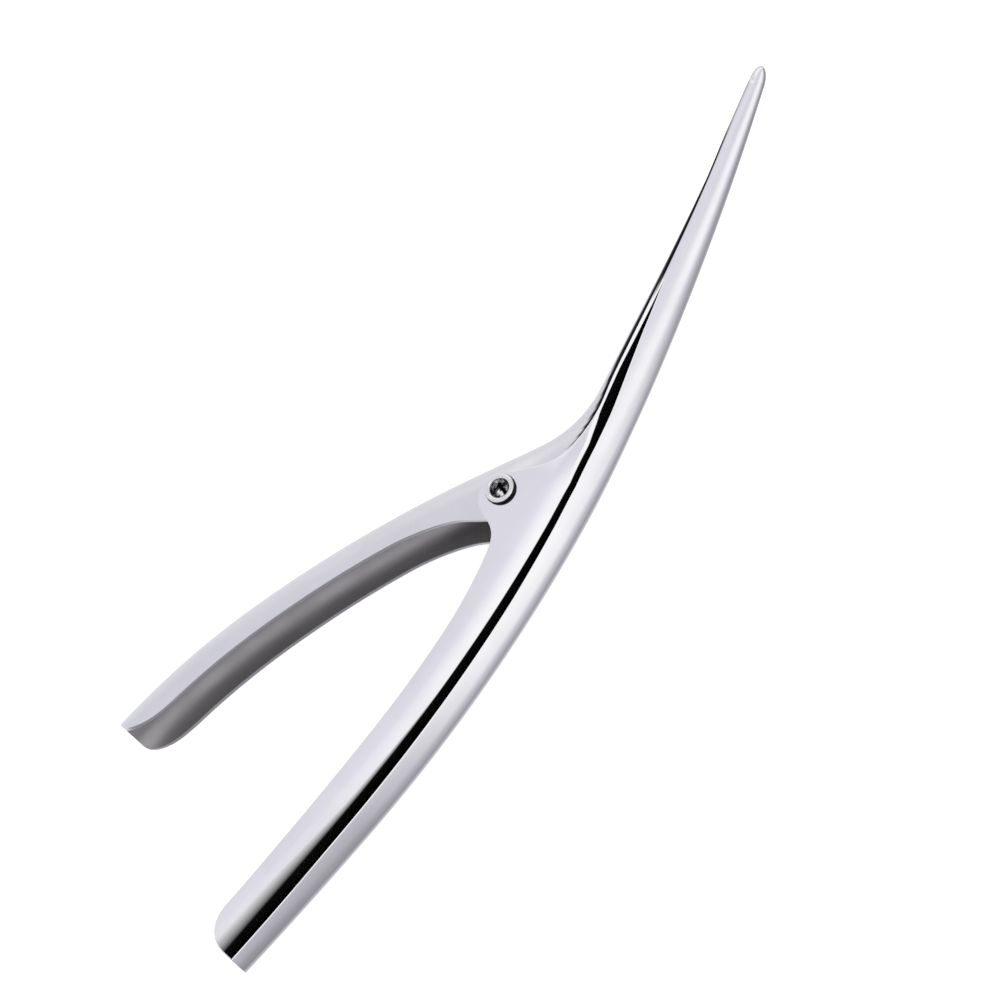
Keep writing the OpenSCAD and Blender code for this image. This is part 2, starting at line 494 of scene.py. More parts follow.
def press(name, lever, rows, columns, rounding, outside, inside, rim):
    """A lever pressed from a flat blank of rows and columns, with its thickness and tumbled edges."""
    clear_selection()
    bpy.ops.mesh.primitive_grid_add(x_subdivisions=rows, y_subdivisions=columns, size=2)
    piece = take(name)
    piece.data.materials.append(outside)
    piece.data.materials.append(inside)
    gauge = piece.vertex_groups.new(name="gauge")
    flat, nested = [], []
    for vertex in piece.data.vertices:
        across = vertex.co.y
        s = lever.row((vertex.co.x + 1) / 2, across)
        flat.append((s * MM, math.copysign(lever.run(s, across), across) * MM))
        # Each point's share of painted seam shade is written as an attribute.
        nested.append(lever.nested(s, across))
        gauge.add([vertex.index], lever.sheet(s) / lever.gauge, "REPLACE")
        vertex.co = lever.point(s, *lever.rise(s, across))
    sheet_map = piece.data.uv_layers.active.data
    for loop in piece.data.loops:
        sheet_map[loop.index].uv = flat[loop.vertex_index]
    layer = piece.data.attributes.new("nested", "FLOAT", "POINT")
    layer.data.foreach_set("value", nested)
    face = piece.data.polygons[rows * columns // 2 + columns // 2]
    s = flat[face.vertices[0]][0] / MM
    if face.normal.dot(face.center - lever.point(s, lever.half(s), 0)) < 0:
        edit(piece, "FACE")
        bpy.ops.mesh.flip_normals()
        done()
    shape_with(piece, "SUBSURF", levels=1, render_levels=1, uv_smooth="NONE")
    shape_with(
        piece, "SOLIDIFY", thickness=lever.gauge * MM, offset=-1, vertex_group="gauge",
        use_even_offset=False, material_offset=1, material_offset_rim=rim,
    )
    shape_with(
        piece, "BEVEL", width=rounding * MM, segments=3, limit_method="ANGLE",
        angle_limit=math.radians(50),
    )
    return piece


def drill(piece, radius):
    """The rivet's hole through both walls of a lever."""
    clear_selection()
    bpy.ops.mesh.primitive_cylinder_add(
        vertices=96, radius=radius * MM, depth=3 * MID_Z * MM, location=(0, 0, MID_Z * MM)
    )
    cutter = take("drill")
    settle(cutter)
    shape_with(piece, "BOOLEAN", operation="DIFFERENCE", object=cutter, solver="EXACT")
    bpy.data.objects.remove(cutter)


# ---------------------------------------------------------------- finishes


def node(tree, kind, at, **settings):
    made = tree.nodes.new(kind)
    made.location = at
    for key, value in settings.items():
        if hasattr(made, key):
            setattr(made, key, value)
        else:
            made.inputs[key].default_value = value
    return made


def new_group(name, inputs, outputs):
    """An empty shader node group with named sockets, and its two end nodes."""
    tree = bpy.data.node_groups.new(name, "ShaderNodeTree")
    for label, kind, value in inputs:
        socket = tree.interface.new_socket(label, in_out="INPUT", socket_type=kind)
        if value is not None:
            socket.default_value = value
    for label in outputs:
        tree.interface.new_socket(label, in_out="OUTPUT", socket_type="NodeSocketFloat")
    return tree, node(tree, "NodeGroupInput", (-1000, 0)), node(tree, "NodeGroupOutput", (600, 0))


def grain_group():
    """Fine lines that run one way, as a belt leaves them, in patches of uneven depth."""
    if "Belt grain" in bpy.data.node_groups:
        return bpy.data.node_groups["Belt grain"]
    tree, start, end = new_group(
        "Belt grain",
        [("Vector", "NodeSocketVector", None), ("Fineness", "NodeSocketFloat", 4000.0),
         ("Stretch", "NodeSocketFloat", 60.0)],
        ["Height", "Patches"],
    )
    link = tree.links.new
    split = node(tree, "ShaderNodeSeparateXYZ", (-800, 0))
    longer = node(tree, "ShaderNodeMath", (-600, 150), operation="DIVIDE")
    joined = node(tree, "ShaderNodeCombineXYZ", (-400, 0))
    lines = node(tree, "ShaderNodeTexNoise", (-200, 100), Detail=2.0, Roughness=0.6)
    patches = node(tree, "ShaderNodeTexNoise", (-200, -200), Scale=110.0, Detail=3.0)
    soft = node(tree, "ShaderNodeMapRange", (0, -200))
    soft.inputs["From Min"].default_value = 0.3
    soft.inputs["From Max"].default_value = 0.7
    both = node(tree, "ShaderNodeMath", (300, 60), operation="MULTIPLY")
    link(start.outputs["Vector"], split.inputs[0])
    link(split.outputs["X"], longer.inputs[0])
    link(start.outputs["Stretch"], longer.inputs[1])
    link(longer.outputs[0], joined.inputs["X"])
    link(split.outputs["Y"], joined.inputs["Y"])
    link(split.outputs["Z"], joined.inputs["Z"])
    link(joined.outputs[0], lines.inputs["Vector"])
    link(start.outputs["Fineness"], lines.inputs["Scale"])
    link(start.outputs["Vector"], patches.inputs["Vector"])
    link(patches.outputs["Fac"], soft.inputs["Value"])
    link(lines.outputs["Fac"], both.inputs[0])
    link(soft.outputs[0], both.inputs[1])
    link(both.outputs[0], end.inputs["Height"])
    link(soft.outputs[0], end.inputs["Patches"])
    return tree


def handling_group():
    """Faint smears from fingers, and the slow waves that a polishing wheel leaves."""
    if "Handling marks" in bpy.data.node_groups:
        return bpy.data.node_groups["Handling marks"]
    tree, start, end = new_group(
        "Handling marks",
        [("Vector", "NodeSocketVector", None), ("Scale", "NodeSocketFloat", 70.0)],
        ["Smear", "Wave"],
    )
    link = tree.links.new
    clouds = node(tree, "ShaderNodeTexNoise", (-500, 100), Detail=5.0, Roughness=0.65, Distortion=0.6)
    crisp = node(tree, "ShaderNodeMapRange", (-200, 100))
    crisp.inputs["From Min"].default_value = 0.42
    crisp.inputs["From Max"].default_value = 0.72
    wave = node(tree, "ShaderNodeTexNoise", (-500, -200), Scale=60.0, Detail=1.0)
    link(start.outputs["Vector"], clouds.inputs["Vector"])
    link(start.outputs["Scale"], clouds.inputs["Scale"])
    link(start.outputs["Vector"], wave.inputs["Vector"])
    link(clouds.outputs["Fac"], crisp.inputs["Value"])
    link(crisp.outputs[0], end.inputs["Smear"])
    link(wave.outputs["Fac"], end.inputs["Wave"])
    return tree


def shade_ring_group():
    """A ragged ring about the pivot's axis: the mask of painted shade round the rivet."""
    if "Painted shade ring" in bpy.data.node_groups:
        return bpy.data.node_groups["Painted shade ring"]
    tree, start, end = new_group(
        "Painted shade ring",
        [("Vector", "NodeSocketVector", None), ("Inside", "NodeSocketFloat", 0.0),
         ("Outside", "NodeSocketFloat", 0.003), ("Softness", "NodeSocketFloat", 0.0001)],
        ["Mask"],
    )
    link = tree.links.new
    flat = node(tree, "ShaderNodeVectorMath", (-800, 0), operation="MULTIPLY")
    flat.inputs[1].default_value = (1, 1, 0)
    far = node(tree, "ShaderNodeVectorMath", (-600, 0), operation="LENGTH")
    ragged = node(tree, "ShaderNodeTexNoise", (-800, -250), Scale=1500.0, Detail=2.0)
    shift = node(tree, "ShaderNodeMath", (-600, -250), operation="MULTIPLY_ADD")
    shift.inputs[1].default_value = 0.0003
    shift.inputs[2].default_value = -0.00015
    moved = node(tree, "ShaderNodeMath", (-400, 0), operation="ADD")
    within = node(tree, "ShaderNodeMath", (-200, 150), operation="SUBTRACT")
    fade = node(tree, "ShaderNodeMath", (0, 150), operation="DIVIDE", use_clamp=True)
    beyond = node(tree, "ShaderNodeMath", (-200, -100), operation="SUBTRACT")
    rise = node(tree, "ShaderNodeMath", (0, -100), operation="DIVIDE", use_clamp=True)
    both = node(tree, "ShaderNodeMath", (250, 0), operation="MULTIPLY")
    link(start.outputs["Vector"], flat.inputs[0])
    link(flat.outputs[0], far.inputs[0])
    link(start.outputs["Vector"], ragged.inputs["Vector"])
    link(ragged.outputs["Fac"], shift.inputs[0])
    link(far.outputs["Value"], moved.inputs[0])
    link(shift.outputs[0], moved.inputs[1])
    link(start.outputs["Outside"], within.inputs[0])
    link(moved.outputs[0], within.inputs[1])
    link(within.outputs[0], fade.inputs[0])
    link(start.outputs["Softness"], fade.inputs[1])
    link(moved.outputs[0], beyond.inputs[0])
    link(start.outputs["Inside"], beyond.inputs[1])
    link(beyond.outputs[0], rise.inputs[0])
    link(start.outputs["Softness"], rise.inputs[1])
    link(fade.outputs[0], both.inputs[0])
    link(rise.outputs[0], both.inputs[1])
    link(both.outputs[0], end.inputs["Mask"])
    return tree


class Steel:
    """One bare steel finish as it is built up: smears first, then grain, waves and painted shade."""

    def __init__(self, name, colour, dull, smear):
        self.material, self.tree, out = bare(name)
        out.location.x = 1900
        self.column = 0
        self.metal = node(self.tree, "ShaderNodeBsdfPrincipled", (1600, 0), Metallic=1.0)
        self.tree.links.new(self.metal.outputs[0], out.inputs["Surface"])
        place = node(self.tree, "ShaderNodeTexCoord", (-900, 0))
        self.place = place.outputs["Object"]
        marks = node(self.tree, "ShaderNodeGroup", (-600, 150), node_tree=handling_group())
        self.tree.links.new(self.place, marks.inputs["Vector"])
        self.smear, self.wave = marks.outputs["Smear"], marks.outputs["Wave"]
        tint = node(self.tree, "ShaderNodeMix", (-200, 300), data_type="RGBA")
        tint.inputs["A"].default_value = (*colour, 1)
        tint.inputs["B"].default_value = (*[0.94 * c for c in colour], 1)
        rough = node(self.tree, "ShaderNodeMapRange", (-200, 60))
        rough.inputs["To Min"].default_value = dull
        rough.inputs["To Max"].default_value = dull + smear
        self.feed(self.smear, tint.inputs["Factor"])
        self.feed(self.smear, rough.inputs["Value"])
        self.feed(tint.outputs["Result"], self.metal.inputs["Base Color"])
        self.feed(rough.outputs[0], self.metal.inputs["Roughness"])

    def feed(self, start, end):
        self.tree.links.new(start, end)

    def step(self):
        self.column += 1
        return self.column * 250

    def bump(self, height, depth):
        """Adds a relief, depth metres high, over the ones already there."""
        relief = node(self.tree, "ShaderNodeBump", (self.step(), -250), Strength=1.0, Distance=depth)
        normal = self.metal.inputs["Normal"]
        if normal.links:
            self.feed(normal.links[0].from_socket, relief.inputs["Normal"])
        self.feed(height, relief.inputs["Height"])
        self.feed(relief.outputs[0], normal)

    def grain(self, where, fineness, stretch, depth, dulling=0.0):
        lines = node(self.tree, "ShaderNodeGroup", (self.step() - 700, -300), node_tree=grain_group())
        lines.inputs["Fineness"].default_value = fineness
        lines.inputs["Stretch"].default_value = stretch
        self.feed(where, lines.inputs["Vector"])
        self.bump(lines.outputs["Height"], depth)
        if dulling:
            rough = self.metal.inputs["Roughness"]
            more = node(self.tree, "ShaderNodeMath", (self.step(), 60), operation="MULTIPLY_ADD")
            more.inputs[1].default_value = dulling
            self.feed(lines.outputs["Height"], more.inputs[0])
            self.feed(rough.links[0].from_socket, more.inputs[2])
            self.feed(more.outputs[0], rough)

    def cover(self, mask, colour, dull):
        """Lets a mask turn the steel into something darker and duller."""
        at = self.step()
        shade = node(self.tree, "ShaderNodeMix", (at, 300), data_type="RGBA")
        shade.inputs["B"].default_value = (*colour, 1)
        rough = node(self.tree, "ShaderNodeMix", (at, 60), data_type="FLOAT")
        rough.inputs["B"].default_value = dull
        for blend, name in ((shade, "Base Color"), (rough, "Roughness")):
            socket = self.metal.inputs[name]
            self.feed(socket.links[0].from_socket, blend.inputs["A"])
            self.feed(mask, blend.inputs["Factor"])
            self.feed(blend.outputs["Result"], socket)

    def ring(self, inside, outside, softness):
        """The mask of a ring of painted shade round the rivet, in millimetres."""
        ring = node(self.tree, "ShaderNodeGroup", (self.step(), 500), node_tree=shade_ring_group())
        ring.inputs["Inside"].default_value = inside * MM
        ring.inputs["Outside"].default_value = outside * MM
        ring.inputs["Softness"].default_value = softness * MM
        self.feed(self.place, ring.inputs["Vector"])
        return ring.outputs["Mask"]

    def below(self, height, softness):
        """The mask of all that lies under a height, in millimetres."""
        split = node(self.tree, "ShaderNodeSeparateXYZ", (self.step(), 700))
        fade = node(self.tree, "ShaderNodeMapRange", (self.step(), 700))
        fade.inputs["From Min"].default_value = (height - softness) * MM
        fade.inputs["From Max"].default_value = height * MM
        fade.inputs["To Min"].default_value = 1.0
        fade.inputs["To Max"].default_value = 0.0
        self.feed(self.place, split.inputs[0])
        self.feed(split.outputs["Z"], fade.inputs["Value"])
        return fade.outputs[0]

    def both(self, first, second):
        joined = node(self.tree, "ShaderNodeMath", (self.step(), 600), operation="MULTIPLY")
        self.feed(first, joined.inputs[0])
        self.feed(second, joined.inputs[1])
        return joined.outputs[0]

    def sheet_map(self):
        """The piece's own map: along the sheet and across it, in metres."""
        place = node(self.tree, "ShaderNodeUVMap", (-900, -300), uv_map="UVMap")
        return place.outputs[0]

    def mark(self, name):
        """A mask that was written on the piece when it was pressed."""
        layer = node(self.tree, "ShaderNodeAttribute", (self.step(), 500), attribute_name=name)
        return layer.outputs["Fac"]


PAINTED_SHADE = (0.006, 0.006, 0.007)  # near-black painted shade for the gaps round the rivet, along the seam and down the hole


def inside_steel(finish):
    """The unpolished inside of a pressed sheet: dull, a little stained, and grey, its dark tone partly
    painted shade of the levers' hollows.
    """
    if "Unpolished inside with painted shade" in bpy.data.materials:
        return bpy.data.materials["Unpolished inside with painted shade"]
    steel = Steel("Unpolished inside with painted shade", finish.inside, 0.36, 0.12)
    steel.grain(steel.sheet_map(), 2500.0, 12.0, 3e-6, 0.1)
    return steel.material


def bare(name):
    """An empty material's tree, with its output node."""
    material = bpy.data.materials.new(name)
    material.use_nodes = True
    material.node_tree.nodes.clear()
    return material, material.node_tree, node(material.node_tree, "ShaderNodeOutputMaterial", (400, 0))


def give(piece, material):
    piece.data.materials.clear()
    piece.data.materials.append(material)


# ---------------------------------------------------------------- operators


class BuildLongLever(bpy.types.Operator):
    """Press the long lever and close its nose"""

    bl_idname = "sheller.long_lever"
    bl_label = "Long lever"

    def execute(self, context):
        sizes = context.scene.sheller_levers
        finish = context.scene.sheller_steel
        lever = LongLever(sizes)
        piece = press(
            "long_lever_sheet", lever, 180, 40, sizes.edge_rounding,
            self.polished_sheet(finish, context.scene.sheller_rivet), inside_steel(finish), 0,
        )
        drill(piece, context.scene.sheller_rivet.shank / 2 + 0.05)
        nose = self.nose(lever)
        clear_selection()
        nose.select_set(True)
        piece.select_set(True)
        context.view_layer.objects.active = piece
        bpy.ops.object.join()
        smooth(piece)
        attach(piece, "long_lever")
        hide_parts("main_lever")
        return {"FINISHED"}

    def polished_sheet(self, finish, rivet):
        """A mirror polish, slightly wavy, with painted shade round the rivet and along the beak's free
        edges.
        """
        steel = Steel("Polished sheet", finish.polished, 0.02, 0.035)
        steel.grain(steel.place, 900.0, 8.0, 4e-8)
        steel.bump(steel.wave, 2e-6)
        # Painted shade: the sheet under and just past the rolled rim is turned near black.
        steel.cover(steel.ring(0, rivet.rim / 2 + 0.12, 0.12), PAINTED_SHADE, 0.6)
        # Painted shade along the beak's free edges, where the seam to the second lever lies.
        steel.cover(steel.mark("nested"), PAINTED_SHADE, 0.5)
        return steel.material

    def nose(self, lever):
        """The bullet that closes the beak, tangent to the sheet in front of it."""
        root = lever.half(lever.nose_at)
        lap = 0.4
        profile = [(0.5 * root, -lap), (root - 0.02, -lap), (root - 0.01, 0)]
        for step in range(1, 13):
            along = math.sin(math.radians(7.3 * step))
            radius = (root - 0.02 * along * lever.nose_length) * math.sqrt(1 - along**2)
            profile.append((radius, lever.nose_length * along))
        piece = turn_up("nose", profile, 64)
        x, y, turned = lever.back(lever.nose_at)
        give(piece, bpy.data.materials["Polished sheet"])
        piece.matrix_world = (
            Matrix.Translation(lever.point(lever.nose_at, root, 0))
            @ Matrix.Rotation(turned, 4, "Z")
            @ Matrix.Rotation(math.pi / 2, 4, "Y")
        )
        settle(piece)
        return piece


class BuildSecondLever(bpy.types.Operator):
    """Press the second lever"""

    bl_idname = "sheller.second_lever"
    bl_label = "Second lever"

    def execute(self, context):
        sizes = context.scene.sheller_levers
        finish = context.scene.sheller_steel
        piece = press(
            "second_lever_sheet", SecondLever(sizes), 160, 40, sizes.edge_rounding,
            self.satin_sheet(finish), inside_steel(finish), 0,
        )
        drill(piece, context.scene.sheller_rivet.shank / 2 + 0.05)
        smooth(piece)
        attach(piece, "short_lever")
        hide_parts("second_lever")
        return {"FINISHED"}

    def satin_sheet(self, finish):
        """A fine belt finish along the lever, softer where it was handled, with painted shade along the
        seam.
        """
        steel = Steel("Satin sheet", finish.satin, 0.24, 0.05)
        steel.grain(steel.sheet_map(), 5200.0, 45.0, 1.6e-7, 0.06)
        # Painted shade along the seam with the long lever.
        steel.cover(steel.mark("nested"), PAINTED_SHADE, 0.5)
        return steel.material


class BuildRivet(bpy.types.Operator):
    """Turn the rivet: a pressed head, a shank and a rolled rim round a blind hole"""

    bl_idname = "sheller.rivet"
    bl_label = "Rivet"

    def execute(self, context):
        sizes = context.scene.sheller_rivet
        top = LONG_HIGH.z / MM
        high = RIVET_HIGH.z / MM
        head_t = LONG_LOW.z / MM
        head, shank = sizes.head / 2, sizes.shank / 2
        hole, rim = sizes.hole / 2, sizes.rim / 2
        roll = (rim - hole) / 2
        skirt = 0.45
        profile = [(head - 1.0, 0)]
        for step in range(1, 6):
            turn = math.radians(mix(-75, 0, step / 5))
            profile.append((head - 0.8 + 0.8 * math.cos(turn), 0.7 + 0.7 * math.sin(turn)))
        profile += [
            (head, head_t - 0.12), (head - 0.12, head_t), (shank, head_t), (shank, top - 0.05),
            (rim - 0.22, top - 0.02), (rim - 0.06, top + 0.06),
        ]
        for step in range(0, 13):
            turn = math.radians(15 * step)
            profile.append((
                hole + roll + roll * math.cos(turn),
                top + skirt + (high - top - skirt) * math.sin(turn),
            ))
        floor = high - 3.3
        profile += [(hole, floor + 0.3), (hole - 0.1, floor + 0.08), (hole - 0.4, floor - 0.1),
                    (0.4, floor - 0.75), (0.1, floor - 0.8)]
        piece = turn_up("rivet_rolled", profile)
        smooth(piece, 30)
        give(piece, self.rivet_steel(context.scene.sheller_steel, sizes, high))
        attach(piece, "long_lever")
        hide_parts("pivot_rivet")
        return {"FINISHED"}

    def rivet_steel(self, finish, sizes, high):
        """Turned steel, with painted shade on the rim's flank and in patches down the hole; both masks
        also darken parts of the pressed head underneath.
        """
        steel = Steel("Rivet steel", finish.turned, 0.1, 0.1)
        steel.grain(steel.place, 1800.0, 1.0, 1.5e-6)
        # Painted shade: the rim's flank and the ring below it are turned near black, for the shade in the
        # gap under the rolled rim.
        flank = steel.both(
            steel.ring(sizes.rim / 2 - 0.25, sizes.rim / 2 + 1, 0.1), steel.below(high - 0.2, 0.1)
        )
        steel.cover(flank, PAINTED_SHADE, 0.5)
        # Painted shade in patches down the blind hole.
        hole = steel.both(
            steel.ring(-1, sizes.hole / 2 + 0.12, 0.08), steel.below(high - 0.35, 0.25)
        )
        patches = node(
            steel.tree, "ShaderNodeTexNoise", (steel.step(), 900), Scale=1100.0, Detail=3.0,
        )
        uneven = node(steel.tree, "ShaderNodeMapRange", (steel.step(), 900))
        uneven.inputs["From Min"].default_value = 0.42
        uneven.inputs["From Max"].default_value = 0.56
        steel.feed(steel.place, patches.inputs["Vector"])
        steel.feed(patches.outputs["Fac"], uneven.inputs["Value"])
        steel.cover(steel.both(hole, uneven.outputs[0]), PAINTED_SHADE, 0.45)
        return steel.material


class BuildSpring(bpy.types.Operator):
    """Wind the spring round the rivet and draw out its two legs"""

    bl_idname = "sheller.spring"
    bl_label = "Spring"

    def execute(self, context):
        sizes = context.scene.sheller_spring
        leg_in, leg_out = Vector((-11.2, 13.2)), Vector((-19, -10.8))
        turn_in, turn_out = math.radians(47.5), math.radians(-65)
        sweep = math.radians(5 * 360) + turn_in - turn_out
        low = MID_Z - sizes.coil_height / 2
        radius = sizes.coil_radius
        clear_selection()
        bpy.ops.mesh.primitive_circle_add(
            vertices=16, radius=sizes.wire / 2 * MM, rotation=(math.pi / 2, 0, 0),
            location=(radius * MM, 0, low * MM),
        )
        piece = take("spring_wire_coil")
        settle(piece)
        edit(piece)
        bpy.ops.transform.rotate(
            value=-turn_out, orient_axis="Z", center_override=(0, 0, 0),
        )
        done()
        self.fix_start(piece, turn_out, radius)
        shape_with(
            piece, "SCREW", angle=sweep, screw_offset=sizes.coil_height * MM, steps=150,
            render_steps=150, use_smooth_shade=True, use_normal_calculate=True,
        )
        self.legs(piece, leg_in, leg_out, turn_in, turn_out, radius, low, sizes)
        smooth(piece, 40)
        give(piece, self.spring_wire(context.scene.sheller_steel))
        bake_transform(piece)
        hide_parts("torsion_spring")
        return {"FINISHED"}

    def spring_wire(self, finish):
        """Hard drawn wire, a little dark from its heat treatment."""
        steel = Steel("Spring wire", finish.wire, 0.22, 0.12)
        steel.grain(steel.place, 1500.0, 1.0, 2e-6, 0.05)
        return steel.material

    def fix_start(self, piece, turn_out, radius):
        """Checks that the wire's first ring stands at the lower leg."""
        middle = sum((v.co for v in piece.data.vertices), Vector()) / len(piece.data.vertices)
        want = Vector((math.cos(turn_out), math.sin(turn_out), 0)) * radius * MM
        if (middle.xy - want.xy).length > 1e-5:
            raise RuntimeError("the spring's first ring isn't at its lower leg")

    def pick_ring(self, piece, ring, near):
        """Edit mode, with only the open ring of edges round one point selected."""
        edit(piece)
        bpy.ops.mesh.select_all(action="DESELECT")
        bpy.ops.mesh.select_non_manifold(extend=False)
        done()
        mesh = piece.data
        for vertex in mesh.vertices:
            vertex.select = vertex.select and (vertex.co - ring).length < near
        for side in mesh.edges:
            side.select = all(mesh.vertices[i].select for i in side.vertices)
        for face in mesh.polygons:
            face.select = False
        bpy.ops.object.mode_set(mode="EDIT")

    def legs(self, piece, leg_in, leg_out, turn_in, turn_out, radius, low, sizes):
        """Draws each end ring out along its leg, and closes it."""
        ends = (
            (turn_out, leg_out, low),
            (turn_in, leg_in, low + sizes.coil_height),
        )
        for turn, leg, height in ends:
            ring = Vector((radius * math.cos(turn), radius * math.sin(turn), height)) * MM
            self.pick_ring(piece, ring, sizes.wire * 0.6 * MM)
            draw = Vector((leg.x * MM - ring.x, leg.y * MM - ring.y, 0))
            bpy.ops.mesh.extrude_edges_move(TRANSFORM_OT_translate={"value": draw})
            bpy.ops.mesh.edge_face_add()
            bpy.ops.mesh.select_all(action="SELECT")
            bpy.ops.mesh.normals_make_consistent(inside=False)
            done()


class BuildStudio(bpy.types.Operator):
    """Lay the floor, set the light and place the camera"""

    bl_idname = "sheller.studio"
    bl_label = "Studio"

    def execute(self, context):
        look = context.scene.sheller_studio
        self.camera(context, look)
        self.floor(look)
        self.room(context, look)
        self.flag(context)
        self.card(context)
        context.scene.view_settings.view_transform = "Standard"
        return {"FINISHED"}

    def camera(self, context, look):
        """A long lens, tilted and rolled as the tool is seen."""
        lean, roll = math.radians(32), math.radians(43)
        towards = Vector((-0.2265, -0.974, 0)).normalized()
        up = Vector((0, 0, 1))
        back = up * math.cos(lean) + towards * math.sin(lean)
        down = towards * math.cos(lean) - up * math.sin(lean)
        side = Vector((towards.y, -towards.x, 0))
        right = down * math.cos(roll) - side * math.sin(roll)
        top = -down * math.sin(roll) - side * math.cos(roll)
        aim = Vector((0, 0, RIVET_HIGH.z)) + right * 0.431 * MM - top * 2.46 * MM
        lens = bpy.data.cameras.new("view")
        lens.sensor_width = 36
        lens.lens = 36 * look.camera_distance / look.view_width
        lens.clip_end = 30
        eye = bpy.data.objects.new("view", lens)
        context.scene.collection.objects.link(eye)
        turned = Matrix((right, top, back)).transposed().to_4x4()
        eye.matrix_world = Matrix.Translation(aim + back * look.camera_distance) @ turned
        context.scene.camera = eye

    def floor(self, look):
        clear_selection()
        bpy.ops.mesh.primitive_circle_add(vertices=96, radius=8, fill_type="NGON")
        piece = take("floor")
        piece.location.z = RIVET_LOW.z - 0.00002
        settle(piece)
        material, tree, out = bare("Floor")
        paper = node(tree, "ShaderNodeBsdfDiffuse", (0, -150))
        paper.inputs["Color"].default_value = (*[0.5 * c for c in look.floor], 1)
        lit = node(tree, "ShaderNodeEmission", (0, 150))
        lit.inputs["Color"].default_value = (*look.floor, 1)
        lit.inputs["Strength"].default_value = 0.82
        both = node(tree, "ShaderNodeAddShader", (200, 0))
        tree.links.new(lit.outputs[0], both.inputs[0])
        tree.links.new(paper.outputs[0], both.inputs[1])
        tree.links.new(both.outputs[0], out.inputs["Surface"])
        piece.visible_glossy = False
        give(piece, material)

    # brightness of the room as the steel sees it, by the angle over the near horizon (90 is overhead,
    # -90 is straight down), for the side of the handles, the middle and the side of the beak
    ROOM_HANDLES = (
        (-180, 0.82), (-122, 0.9), (-106, 0.68), (-72, 0.25), (-50, 0.33), (-30, 0.45), (0, 0.55),
        (30, 0.7), (60, 0.78), (94, 0.76), (122, 0.76), (180, 0.82),
    )
    ROOM_MIDDLE = (
        (-180, 0.82), (-122, 0.92), (-100, 0.62), (-74, 0.35), (-50, 0.6), (-30, 0.93), (0, 1.0),
        (60, 1.0), (80, 0.9), (96, 0.8), (122, 0.76), (150, 0.72), (180, 0.82),
    )
    ROOM_BEAK = (
        (-180, 0.82), (-122, 0.9), (-90, 0.5), (-66, 0.25), (-42, 0.36), (-20, 0.6), (0, 0.85),
        (14, 0.98), (40, 0.95), (74, 0.7), (102, 0.72), (122, 1.0), (180, 0.82),
    )

    def room(self, context, look):
        """Soft light from all round, in slow steps from white to grey."""
        world = bpy.data.worlds.new("room")
        context.scene.world = world
        world.use_nodes = True
        tree = world.node_tree
        tree.nodes.clear()
        link = tree.links.new
        out = node(tree, "ShaderNodeOutputWorld", (1000, 0))
        light = node(tree, "ShaderNodeBackground", (800, 0))
        light.inputs["Strength"].default_value = look.sky
        ray = node(tree, "ShaderNodeLightPath", (300, 400))
        pick = node(tree, "ShaderNodeMix", (600, 0), data_type="RGBA")
        pick.inputs["A"].default_value = (1.02, 1.02, 1.02, 1)
        place = node(tree, "ShaderNodeTexCoord", (-1200, 0))
        split = node(tree, "ShaderNodeSeparateXYZ", (-1000, 0))
        near = node(tree, "ShaderNodeMath", (-800, -150), operation="MULTIPLY")
        near.inputs[1].default_value = -1.0
        turn = node(tree, "ShaderNodeMath", (-600, 0), operation="ARCTAN2")
        share = node(tree, "ShaderNodeMapRange", (-400, 0))
        share.inputs["From Min"].default_value = -math.pi
        share.inputs["From Max"].default_value = math.pi
        link(place.outputs["Generated"], split.inputs[0])
        link(split.outputs["Y"], near.inputs[0])
        link(split.outputs["Z"], turn.inputs[0])
        link(near.outputs[0], turn.inputs[1])
        link(turn.outputs[0], share.inputs["Value"])
        shades = []
        for number, steps in enumerate((self.ROOM_HANDLES, self.ROOM_MIDDLE, self.ROOM_BEAK)):
            ramp = node(tree, "ShaderNodeValToRGB", (-200, 300 - 300 * number))
            for angle, bright in steps[1:-1]:
                ramp.color_ramp.elements.new((angle + 180) / 360)
            for stop, (angle, bright) in zip(ramp.color_ramp.elements, steps):
                stop.position = (angle + 180) / 360
                cool = 0.05 * min(1.0, 5 * (1 - bright))
                stop.color = (bright * (1 - 0.3 * cool), bright * (1 - 0.5 * cool), bright * (1 + cool), 1)
            link(share.outputs[0], ramp.inputs["Fac"])
            shades.append(ramp.outputs["Color"])
        mixed = shades[0]
        for number, (start, stop) in enumerate(((-0.2, 0.1), (0.2, 0.45))):
            slide = node(tree, "ShaderNodeMapRange", (100, -300 * number), interpolation_type="SMOOTHSTEP")
            slide.inputs["From Min"].default_value = start
            slide.inputs["From Max"].default_value = stop
            both = node(tree, "ShaderNodeMix", (300, -300 * number), data_type="RGBA")
            link(split.outputs["X"], slide.inputs["Value"])
            link(slide.outputs[0], both.inputs["Factor"])
            link(mixed, both.inputs["A"])
            link(shades[number + 1], both.inputs["B"])
            mixed = both.outputs["Result"]
        link(mixed, pick.inputs["B"])
        link(ray.outputs["Is Glossy Ray"], pick.inputs["Factor"])
        link(pick.outputs["Result"], light.inputs["Color"])
        link(light.outputs[0], out.inputs["Surface"])

